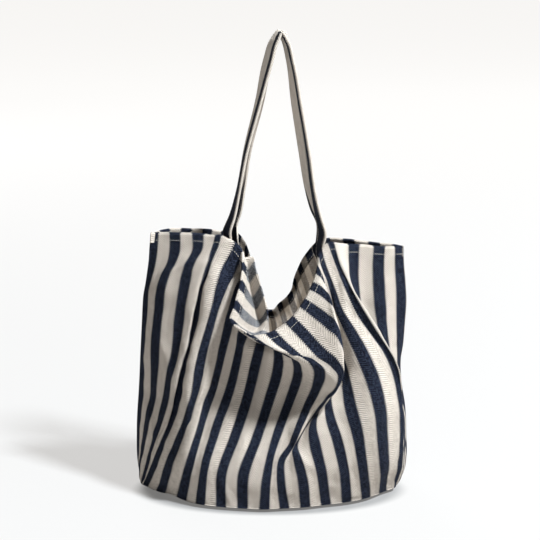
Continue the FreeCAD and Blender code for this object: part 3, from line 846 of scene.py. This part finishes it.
def end_thread(name, line, wide, thick, at_start):
    """Box of stitches that holds a sewn strap end, on both faces."""
    run = run_length(line)
    near, far = END_STITCH_INSET, END_STITCH_FAR
    if not at_start:
        near, far = run[-1] - END_STITCH_FAR, run[-1] - END_STITCH_INSET
    half = STRAP_WIDTH / 2 - END_STITCH_INSET
    places = np.linspace(near, far, 12)

    def read(values, where):
        return np.stack([np.interp(where, run, values[:, a]) for a in range(3)], axis=-1)

    runs = []
    for s in (1, -1):
        lift = read(thick, places) * s
        for shift in (-half, half):
            runs.append((read(line, places) + read(wide, places) * shift + lift * STRAP_THICKNESS / 2, lift))
        for place in (near, far):
            across = np.linspace(-half, half, 8)[:, None]
            up = read(thick, np.full(8, place)) * s
            runs.append((read(line, np.full(8, place)) + read(wide, np.full(8, place)) * across
                         + up * STRAP_THICKNESS / 2, up))
    return stitch_row(name, runs, THREADS)


# ---- assemble ------------------------------------------------------------------------

def piece(obj, nodes, body="bag"):
    """A piece of one body, standing for some CAD nodes."""
    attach(obj, body)
    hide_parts(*nodes)
    return obj


stripes, front = front_shape()
back_stripes, back = back_shape(front)
front_cloth = cloth_coords(front, stripes)
back_cloth = cloth_coords(back, back_stripes)
front = crumple(front, front_cloth, -1, FRONT_CRUMPLE, FRONT_SEED)
front = above_floor(creased(front, front_cloth, -1, CREASES))
back = above_floor(crumple(back, back_cloth, 1, BACK_CRUMPLE, BACK_SEED))
back[0], back[-1] = front[0], front[-1]

panels = {
    "front": (front, front_cloth, stripes, -1, INSIDE),
    "back": (back, back_cloth, back_stripes, 1, BACK_INSIDE),
}
for label, (grid, cloth, numbers, side, wrong_side) in panels.items():
    body = piece(sheet_mesh(label + "_cloth", grid, cloth, side, CLOTH, OUTSIDE, wrong_side),
                 [label + "_panel"])
    band = piece(hem_band(label + "_hem_band", grid, numbers, side), [label + "_hem"])
    row = piece(hem_thread(label + "_hem_thread", grid, side), [label + "_hem_stitches"])

    band, line, wide, thick = strap(label + "_carry_strap", side, grid, STRAP_LEGS[label])
    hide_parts(label + "_strap", label + "_left_strap_end", label + "_right_strap_end")
    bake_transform(band)
    sewn = slice(BARE_RINGS, -BARE_RINGS)
    for edge, node in ((-1, "inner"), (1, "outer")):
        row = strap_thread(label + "_strap_" + node + "_thread", line[sewn], wide[sewn], thick[sewn], edge)
        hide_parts(label + "_strap_" + node + "_stitches")
        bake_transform(row)
    for at_start, hand in ((True, "left"), (False, "right")):
        node = label + "_" + hand + "_strap_end"
        row = end_thread(node + "_thread", line, wide, thick, at_start)
        piece(row, [node + "_stitches"])

base = base_shape(front, back)
base_piece = piece(sheet_mesh("base_cloth", base, cloth_coords(base, stripes), 1, CLOTH, OUTSIDE, INSIDE),
                   ["base_panel"])

# the side allowances stop short of the hem and the base
below_hem, above_base = int(0.06 * ROWS), int(0.97 * ROWS)
for hand, line, toward in (("left", front[0], 1.0), ("right", front[-1], -1.0)):
    seam = line[below_hem:above_base]
    inward = np.tile([toward, 0.0, 0.0], (len(seam), 1))
    strip = seam_strip(hand + "_side_seam_strip", seam, inward, SIDE_SEAM_WIDTH)
    piece(strip, [hand + "_side_seam_allowance"])
loop = np.concatenate([base[:, 2], base[::-1, -3], base[:1, 2]])
upward = np.tile([0.0, 0.0, 1.0], (len(loop), 1))
strip = seam_strip("base_seam_strip", loop, upward, BASE_SEAM_WIDTH)
piece(strip, ["base_seam_allowance"])

# ---- stage, light and camera ------------------------------------------------------------

def studio_floor():
    """Pale seamless floor that runs out to the horizon."""
    size = 40.0
    points = [(x, y, 0.0) for x, y in ((-size, -size), (size, -size), (size, size), (-size, size))]
    new_mesh("studio_floor", points, [(0, 1, 2, 3)], [studio_paper()])


def area_light(name, place, aim, size, power, colour):
    lamp = bpy.data.lights.new(name, "AREA")
    lamp.shape, lamp.size, lamp.energy, lamp.color = "DISK", size, power, colour
    obj = bpy.data.objects.new(name, lamp)
    bpy.context.scene.collection.objects.link(obj)
    obj.location = place
    obj.rotation_euler = (Vector(aim) - Vector(place)).to_track_quat("-Z", "Y").to_euler()


def camera():
    """Camera at the photograph's angle; span is the width that it sees at its aim."""
    distance, elevation, span = 1.75, math.radians(14.0), 0.752
    aim = Vector((0.0, 0.0, 0.3225))
    lens = bpy.data.cameras.new("camera")
    lens.sensor_width = 36.0
    lens.lens = lens.sensor_width * distance / span
    obj = bpy.data.objects.new("camera", lens)
    bpy.context.scene.collection.objects.link(obj)
    obj.location = aim + distance * Vector((0.0, -math.cos(elevation), math.sin(elevation)))
    obj.rotation_euler = (aim - obj.location).to_track_quat("-Z", "Y").to_euler()
    bpy.context.scene.camera = obj


studio_floor()
area_light("key", (2.60, -1.55, 4.50), (0.0, 0.0, 0.15), 0.7, 570.0, (0.95, 1.0, 1.04))
area_light("back", (-1.6, 3.2, 2.6), (0.0, 0.0, 0.2), 3.0, 40.0, (0.98, 0.99, 1.0))
camera()
world = bpy.data.worlds.new("studio")
world.use_nodes = True
backdrop = world.node_tree.nodes["Background"]
backdrop.inputs["Color"].default_value = (1.0, 1.0, 1.0, 1.0)
backdrop.inputs["Strength"].default_value = 0.05
bpy.context.scene.world = world
bpy.context.scene.view_settings.view_transform = "Standard"
